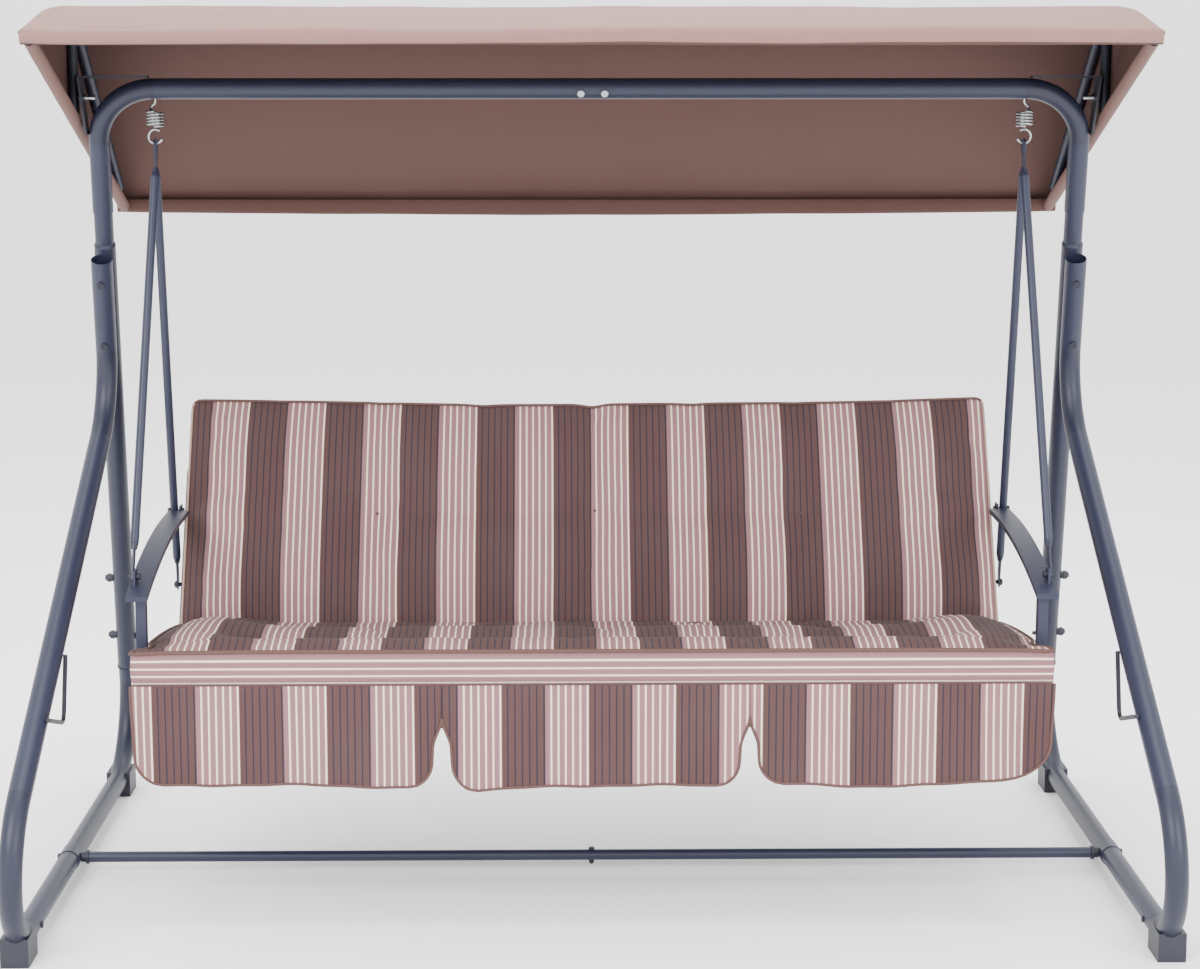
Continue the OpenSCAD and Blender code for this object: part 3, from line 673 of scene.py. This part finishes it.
def button(name, at, normal, body, r=0.009):
    """A small flat knot of thread where a tuft is tied."""
    n = Vector(normal).normalized()
    a = n.orthogonal().normalized()
    b = n.cross(a)
    V, F, K = [], [], 14
    prof = ((0.0, 0.0032), (0.45, 0.0030), (0.8, 0.0018), (1.0, 0.0), (0.9, -0.002))
    for rr, hh in prof[1:]:
        for k in range(K):
            an = 2 * math.pi * k / K
            V.append(Vector(at) + (a * math.cos(an) + b * math.sin(an)) * r * rr + n * hh)
    V.append(Vector(at) + n * prof[0][1])
    c = len(V) - 1
    for k in range(K):
        F.append((c, k, (k + 1) % K))
        for q in range(len(prof) - 2):
            F.append((q * K + k, (q + 1) * K + k, (q + 1) * K + (k + 1) % K, q * K + (k + 1) % K))
    F.append(tuple((len(prof) - 2) * K + k for k in reversed(range(K))))
    return mesh_obj(name, V, F, body, M_THREAD)


def nearest(VV, mask, p):
    i = np.where(mask)[0]
    return VV[i[np.argmin(np.linalg.norm(VV[i] - p, axis=1))]]


for i, tx in enumerate(TUFTS):
    p = nearest(BV, front, B_O + B_T * B_TUFT + [tx, 0, 0])
    button(f"back_tuft_{i + 1}", p - B_N * 0.0002, -B_N, "bench", 0.0036)

# ---------------------------------------------------------------- skirt
SK_TOP, SK_Y, SK_HALF = 0.4355, Y0 + 0.2035, 0.803
SLITS, SLIT_TOP = (-0.264, 0.272), 0.378
# each panel's left and right edge, the height of its lower corners, and their radii
PANELS = ((-SK_HALF, SLITS[0], 0.259, 0.254, 0.050, 0.040), (SLITS[0], SLITS[1], 0.250, 0.256, 0.042, 0.040),
          (SLITS[1], SK_HALF, 0.258, 0.268, 0.040, 0.060))


def skirt_panel(k):
    xl, xr, zl, zr, rl, rr = PANELS[k]
    K, R = 80, 30

    def bound(z, right):
        """How far a panel's edge stands off its slit, or its place at an outer end, and the corner's cut."""
        zb = zr if right else zl
        r = rr if right else rl
        outer = (k == 2) if right else (k == 0)
        if outer:
            x = SK_HALF - 0.004 * s01(SK_TOP - z, 0, 0.15)
        else:
            open_z = SLIT_TOP - z
            x = 0.0 if open_z < 0 else 0.016 * s01(open_z, 0, 0.055) + 0.004 * s01(open_z, 0.05, 0.12)
        d = z - zb
        cut = r - math.sqrt(max(0.0, r * r - (r - d) ** 2)) if d < r else 0.0
        return x, cut

    V, R3 = [], []
    for j in range(R + 1):
        q = j / R
        for i in range(K + 1):
            a = i / K
            bow = 0.004 * math.sin(math.pi * a) if k != 2 else -0.010 * math.sin(math.pi * a) ** 2
            zb = zl + (zr - zl) * a + bow
            z = SK_TOP + (zb - SK_TOP) * (1 - (1 - q) ** 1.25)
            zz_l, zz_r = zl + (z - zb), zr + (z - zb)
            bl, cl = bound(zz_l, False)
            br, cr = bound(zz_r, True)
            x0 = (-bl if k == 0 else SLITS[k - 1] + bl) + cl
            x1 = (br if k == 2 else SLITS[k] - br) - cr
            x = x0 + (x1 - x0) * a
            down = (SK_TOP - z) / 0.18
            y = SK_Y - 0.004 * down ** 1.5
            y -= (0.0045 * down * math.sin(2 * math.pi * x / 0.23 + 1.1 * k)
                  + 0.0022 * down * math.sin(2 * math.pi * x / 0.094 + 2 + k))
            if k == 2:
                y -= (0.012 * down ** 2 * float(bell(x - 0.70, 0.05))
                      - 0.010 * down * float(bell(x - 0.775, 0.03)))
            if k == 0:
                y += 0.006 * down ** 2 * float(bell(x + 0.79, 0.04))
            V.append((x, y, z))
            R3.append((x, z, 0))
    F = [(j * (K + 1) + i, (j + 1) * (K + 1) + i, (j + 1) * (K + 1) + i + 1, j * (K + 1) + i + 1)
         for j in range(R) for i in range(K)]
    V = np.array(V)
    name = ("left", "middle", "right")[k]
    o = mesh_obj(f"seat_skirt_{name}", V, F, "bench", M_SKIRT, R3)
    m = o.modifiers.new("thickness", "SOLIDIFY")
    m.thickness = 0.0014
    m.offset = 0
    n = K + 1
    path = [V[j * n] for j in range(R)] + [V[R * n + i] for i in range(K)]
    path += [V[j * n + K] for j in range(R, -1, -1)]
    if k != 0:
        path = [p for p in path[:R] if p[2] < SLIT_TOP + 0.001] + path[R:]
    if k != 2:
        path = path[:-(R + 1)] + [p for p in path[-(R + 1):] if p[2] < SLIT_TOP + 0.001]
    P = np.array(path)
    keep = np.r_[True, np.linalg.norm(np.diff(P, axis=0), axis=1) > 0.0012]
    P = P[keep]
    p = tube(f"seat_skirt_piping_{name}", P - [0, 0.0004, 0], 0.0026, "bench", M_PIPE, 8)
    return o


skirts = [skirt_panel(k) for k in range(3)]
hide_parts("seat_skirt")


# ---------------------------------------------------------------- slings
def sling(name, node, corner, across, down, w, l, sag, normal, mat):
    """A taut mesh cloth laced over a frame: corner + across*w + down*l, dipping by sag."""
    K, R = 60, 30
    V, R3 = [], []
    for j in range(R + 1):
        for i in range(K + 1):
            a, b = i / K, j / R
            p = np.array(corner) + np.array(across) * w * a + np.array(down) * l * b
            p = p + np.array(normal) * sag * (math.sin(math.pi * a) * math.sin(math.pi * b)) ** 0.7
            V.append(p)
            R3.append((w * a, l * b, 0))
    F = [(j * (K + 1) + i, j * (K + 1) + i + 1, (j + 1) * (K + 1) + i + 1, (j + 1) * (K + 1) + i)
         for j in range(R) for i in range(K)]
    o = mesh_obj(name, V, F, "bench", mat, R3)
    m = o.modifiers.new("thickness", "SOLIDIFY")
    m.thickness, m.offset = 0.0012, 0
    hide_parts(node)
    edge = [V[i] for i in range(K + 1)] + [V[j * (K + 1) + K] for j in range(1, R + 1)]
    edge += [V[R * (K + 1) + i] for i in range(K - 1, -1, -1)] + [V[j * (K + 1)] for j in range(R - 1, 0, -1)]
    hem = tube(name + "_hem", edge, 0.0018, "bench", M_THREAD, 6, closed=True)
    return o, hem


PAN = math.radians(6.5)           # the seat frame's slope
SLING_W, SEAT_SLING_L, BACK_SLING_L = 1.49, 0.535, 0.330
PAN_A, PAN_N = np.array([0, math.cos(PAN), -math.sin(PAN)]), np.array([0, math.sin(PAN), math.cos(PAN)])
pan_o = np.array([0, Y0 + 0.250, 0.362])
corner = pan_o + PAN_A * -0.010 + PAN_N * 0.0157 + [-SLING_W / 2, 0, 0]
o, hem = sling("seat_sling_cloth", "seat_sling", corner, (1, 0, 0), PAN_A,
               SLING_W, SEAT_SLING_L, -0.006, PAN_N, M_SLING)
corner = B_O + B_T * 0.030 + B_N * 0.0761 + [-SLING_W / 2, 0, 0]
o, hem = sling("back_sling_cloth", "back_sling", corner, (1, 0, 0), B_T,
               SLING_W, BACK_SLING_L, 0.004, B_N, M_SLING)

# ---------------------------------------------------------------- canopy
CF, CR = np.array([-0.3485, 1.543]), np.array([0.5635, 1.214])    # the front and rear tubes
C_HALF, R_TUBE = 0.939, 0.0106    # the side tubes: their place and the radius over the cloth
SIDE_X, EDGE_R = 0.9525, 0.010    # the cloth's sides and its rounded upper edges
top_ctrl = [(-0.3592, 1.5430), (-0.3606, 1.5500), (-0.3590, 1.5565), (-0.3500, 1.5605), (-0.300, 1.5705),
            (-0.225, 1.5845), (-0.150, 1.5955), (-0.050, 1.6015), (0.020, 1.6035), (0.062, 1.5995),
            (0.092, 1.5885), (0.140, 1.5535), (0.240, 1.4795), (0.360, 1.3900), (0.460, 1.3155),
            (0.540, 1.2550), (0.566, 1.2345), (0.5735, 1.2240), (0.5745, 1.2140)]
top = spline(top_ctrl, 90)
seg = np.concatenate([[0], np.cumsum(np.linalg.norm(np.diff(top, axis=0), axis=1))])
NS = 58
stations = np.unique(np.concatenate([np.linspace(0, 0.028, 6), np.linspace(0.028, seg[-1] - 0.030, NS),
                                     np.linspace(seg[-1] - 0.030, seg[-1], 6)]))
TOP = np.column_stack([np.interp(stations, seg, top[:, 0]), np.interp(stations, seg, top[:, 1])])
yh = (TOP[:, 0] - CF[0]) / (CR[0] - CF[0])
hem_h = np.clip(yh, 0, 1) * 0.985 + 0.006 + 0.009 * np.linspace(0, 1, len(stations))
hem_dir = (CR - CF) / np.linalg.norm(CR - CF)
hem_nrm = np.array([-hem_dir[1], hem_dir[0]])
AX, SD, CO = 46, 7, 3             # grid steps over the top, down each side and round each edge
cols = []
for k in range(8):                       # under the side tube, from the inner seam to the outer side
    cols.append(("wrap", k / 7))
for k in range(1, SD + 1):
    cols.append(("side", k / SD))
for k in range(1, CO + 1):
    cols.append(("round", k / CO))
half = len(cols)
for k in range(1, AX):
    cols.append(("top", k / AX))
cols += cols[:half][::-1]
sgn = [-1] * half + [0] * (AX - 1) + [1] * half


def wave(x, y):
    return (0.0016 * math.sin(7.1 * x + 3 * y) + 0.0011 * math.sin(17 * x - 5 * y + 1.3)
            + 0.0007 * math.sin(31 * x + 9 * y))


def canopy_point(r, c):
    kind, q = cols[c]
    s = sgn[c]
    y, z = TOP[r]
    hx = CF + (CR - CF) * hem_h[r]
    bump = 0.0016 * math.sin(9 * hem_h[r] * math.pi + (1.0 if s > 0 else 2.4))
    drop = max(0.0, z - hx[1])
    if kind == "wrap":
        an = math.radians(215 - 215 * q)     # 0 faces outwards, 90 below the tube
        rad = R_TUBE + 0.0016 * math.sin(math.pi * q) + 0.25 * abs(bump)
        x = C_HALF + rad * math.cos(an)
        p = hx - hem_nrm * rad * math.sin(an)
        return s * x, p[0], p[1]
    base_x = C_HALF + R_TUBE
    if kind == "side":
        t = q
        x = base_x + (SIDE_X - base_x) * s01(t, 0, 0.25)
        x = x + 0.5 * bump * math.sin(math.pi * t) * min(1, drop / 0.1)
        x -= 0.004 * math.sin(math.pi * t) * min(1, drop / 0.25)
        top_y, top_z = y, z - EDGE_R * min(1, drop / 0.04)
        return s * float(x), hx[0] + (top_y - hx[0]) * t ** 0.9, hx[1] + (top_z - hx[1]) * t
    if kind == "round":
        an = math.pi / 2 * q
        e = EDGE_R * min(1, drop / 0.04)
        return s * (SIDE_X - EDGE_R + EDGE_R * math.cos(an)), y, z - e + e * math.sin(an)
    x = (2 * q - 1) * (SIDE_X - EDGE_R)
    m = math.sin(math.pi * q)
    st = stations[r]
    f1 = lobe(st, 0.03, 0.42, 1.0)       # between the front tube and the crown
    f2 = lobe(st, 0.50, seg[-1] - 0.03, 1.0)
    edge = 1 - bell(abs(x) - (SIDE_X - EDGE_R), 0.10)
    n = -(0.007 * f1 + 0.010 * f2) * m ** 0.5 * edge
    n += wave(x, y) * (0.5 + 0.9 * f1 + 0.6 * f2) * m ** 0.4
    d = TOP[min(r + 1, len(TOP) - 1)] - TOP[max(r - 1, 0)]
    d /= np.linalg.norm(d)
    yy, zz = y - d[1] * n, z + d[0] * n
    rear = s01(st, seg[-1] - 0.25, seg[-1])
    front = 1 - s01(st, 0, 0.12)
    zz -= 0.0008 * rear * m ** 0.8
    zz += front * (0.0022 * math.sin(2.2 * x + 0.4) + 0.0012 * math.sin(11 * x + 1))
    return x, yy, zz


V, R3, F, FM, idx = [], [], [], [], {}
for r in range(len(TOP)):
    u = 0.0
    for c in range(len(cols)):
        p = canopy_point(r, c)
        if c:
            u += math.dist(p, V[-1])
        idx[r, c] = len(V)
        V.append(p)
        R3.append((p[0] if cols[c][0] == "top" else u, stations[r], 0))
for r in range(len(TOP) - 1):
    for c in range(len(cols) - 1):
        F.append((idx[r, c], idx[r, c + 1], idx[r + 1, c + 1], idx[r + 1, c]))
        FM.append(2 if cols[c][0] == "wrap" and cols[c + 1][0] == "wrap" else 0)


def sleeve(row, centre, step, n, first, last):
    """Carries the sheet on round an end tube, from its outer side under and up inside."""
    prev = row
    for k in range(1, n + 1):
        q = k / n
        for c in range(first, last):
            x, y, z = V[idx[row, c]]
            a0 = math.atan2(z - centre[1], y - centre[0])
            rr = math.hypot(y - centre[0], z - centre[1])
            a = a0 + step * q
            r2 = rr + (R_TUBE - rr) * s01(q, 0.1, 0.8)
            p = [x, centre[0] + r2 * math.cos(a), centre[1] + r2 * math.sin(a)]
            if row:                         # the rear sleeve hangs a little slack under its tube
                p[2] -= 0.0075 * float(lobe(x, -SIDE_X, SIDE_X, 0.8) * lobe(q, 0.05, 1.1, 1.0))
            if k == n:
                p[2] += 0.009
                p[1] += 0.003 if step > 0 else -0.006
            idx[("s", row, k), c] = len(V)
            V.append(tuple(p))
            R3.append((x, stations[row] + (-1 if row == 0 else 1) * 0.004 * k, 0))
        for c in range(first, last - 1):
            a, b = idx[prev, c], idx[prev, c + 1]
            e, f = idx[("s", row, k), c], idx[("s", row, k), c + 1]
            F.append((a, e, f, b) if row == 0 else (a, b, f, e))
            # sleeve faces past the turn take slot 1, the painted shade of the underside
            FM.append(0 if k < 3 else 1)
        prev = ("s", row, k)


first, last = half - CO - 1, half + AX + CO
sleeve(0, CF, math.radians(215), 9, first, last)
sleeve(len(TOP) - 1, CR, -math.radians(215), 9, first, last)
# painted shade: the underside material is the canopy fabric darkened for the shade under the sheet; the
# solidified inner shell takes it through the slot offset
M_UNDERSIDE_SHADE = cloth("canopy_underside_painted_shade", CANOPY_UNDERSIDE_SHADE, (0.066, 0.032, 0.027))
canopy = mesh_obj("canopy_fabric_sheet", V, F, "canopy",
                  [M_CANOPY, M_UNDERSIDE_SHADE, M_HEM, M_UNDERSIDE_SHADE], R3, face_mat=FM)
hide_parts("canopy_cover")
m = canopy.modifiers.new("thickness", "SOLIDIFY")
m.thickness, m.offset = 0.0009, -1
m.material_offset = 1


def canopy_line(name, pts, r=0.0009, mat=None):
    o = tube(name, pts, r, "canopy", mat or M_HEM, 6)


# stitched seams: round both long top edges, and above the rear sleeve
for s, c in ((-1, half - CO - 1), (1, half + AX - 1 + CO)):
    canopy_line(f"canopy_edge_seam_{'left' if s < 0 else 'right'}",
                [np.array(V[idx[r, c]]) + [s * 0.0006, 0, 0] for r in range(2, len(TOP) - 2)])
SEAM_ROW = len(TOP) - 5
rear_seam = np.array([V[idx[SEAM_ROW, c]] for c in range(half, half + AX - 1)])
# the inside seam takes the painted-shade colour of the underside
canopy_line("canopy_rear_seam_inside", rear_seam + [0, -0.0014, -0.0010], 0.0012, M_UNDERSIDE_SHADE)
canopy_line("canopy_rear_seam_outside", rear_seam + [0, 0.0006, 0.0006])

# ---------------------------------------------------------------- springs
COIL_TOP, COIL_BOT = RING_Z + 0.0585, RING_Z + 0.0315
TURNS, R_COIL = 5.0, 0.0146
COIL_WIRE, HOOK_WIRE = 0.0018, 0.0021
for side_name, s in (("left", -1), ("right", 1)):
    cx = s * SPRING_X
    coil = []
    for k in range(int(TURNS * 24) + 1):
        q = k / (TURNS * 24)
        a = -math.pi / 2 + 2 * math.pi * TURNS * q
        coil.append((R_COIL * math.cos(a), R_COIL * math.sin(a), COIL_TOP + (COIL_BOT - COIL_TOP) * q))
    pts = np.array([(cx + p[0] * s, BEAM_Y + p[1], p[2]) for p in coil])
    o = tube(f"spring_{side_name}_coil", pts, COIL_WIRE, None, M_ZINC, 12)
    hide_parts(f"spring_{side_name}")
    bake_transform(o)


def spring_hook(s):
    """An S from the beam's inside down to the coil's top turn."""
    shape = [(0.010, 0, 1.4407), (0.002, 0, 1.4407), (-0.0010, 0, 1.4375), (0.0, 0, 1.4300),
             (0.004, 0, 1.4255), (0.0072, -0.001, 1.4215), (0.0060, -0.006, 1.4180),
             (0.0015, -0.0125, 1.4160), (0.0, -0.0146, 1.4155)]
    return spline([(s * SPRING_X + a * s, BEAM_Y + b, c) for a, b, c in shape], 60)


def spring_ring(s):
    """The open ring under the coil, which the two hangers hang on."""
    x, z, radius = s * SPRING_X, RING_Z + 0.0135, 0.0125
    angles = [math.radians(128 - 286 * k / 60) for k in range(61)]
    return np.array([(x + s * radius * math.cos(a), BEAM_Y, z + radius * math.sin(a)) for a in angles])


for shape, name, body, node in ((spring_hook, "spring_hook", "springs", "spring_hooks"),
                                (spring_ring, "spring_ring", "spring_rings", "spring_rings")):
    for s in (-1, 1):
        side_name = "left" if s < 0 else "right"
        o = tube(f"{name}_{side_name}", shape(s), HOOK_WIRE, body, M_ZINC, 12)
        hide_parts(node)

# ---------------------------------------------------------------- stage
FLOOR = 200.0                     # half the floor's side
me = bpy.data.meshes.new("studio_floor")
corners = [(-FLOOR, -FLOOR, 0), (FLOOR, -FLOOR, 0), (FLOOR, FLOOR, 0), (-FLOOR, FLOOR, 0)]
me.from_pydata(corners, [], [(0, 1, 2, 3)])
me.update()
floor = bpy.data.objects.new("studio_floor", me)
bpy.context.scene.collection.objects.link(floor)
paper = Mat("studio_paper", 0.9)
grain = paper.noise(40, 2)
me.materials.append(paper.out(paper.mix(grain, (0.93, 0.93, 0.93), (0.97, 0.97, 0.97)), 0.9))

world = bpy.data.worlds.new("studio")
bpy.context.scene.world = world
world.use_nodes = True
bg = world.node_tree.nodes["Background"]
bg.inputs[0].default_value = (1, 1, 1, 1)
bg.inputs[1].default_value = 2.3


def area(name, loc, target, size, power):
    d = bpy.data.lights.new(name, "AREA")
    d.shape = "RECTANGLE"
    d.size = d.size_y = size
    d.energy = power
    o = bpy.data.objects.new(name, d)
    bpy.context.scene.collection.objects.link(o)
    o.location = loc
    o.rotation_euler = (Vector(target) - Vector(loc)).to_track_quat("-Z", "Y").to_euler()
    o.visible_camera = False


area("key", (-2.6, -4.6, 3.4), (0, 0, 0.7), size=2.6, power=330)
area("fill", (3.2, -4.2, 2.2), (0, 0, 0.8), size=2.4, power=180)
area("top", (0, 0.6, 4.2), (0, 0, 0.8), size=3.4, power=260)

# the camera, solved on the feet, the floor tubes, the beam and the canopy's edges
cam = bpy.data.cameras.new("camera")
cam.lens, cam.sensor_width = 78, 36
cam_o = bpy.data.objects.new("camera", cam)
bpy.context.scene.collection.objects.link(cam_o)
cam_o.location = (-0.056, -4.745, 1.507)
cam_o.rotation_euler = (math.radians(90 - 9.27), 0, math.radians(-0.875))
bpy.context.scene.camera = cam_o
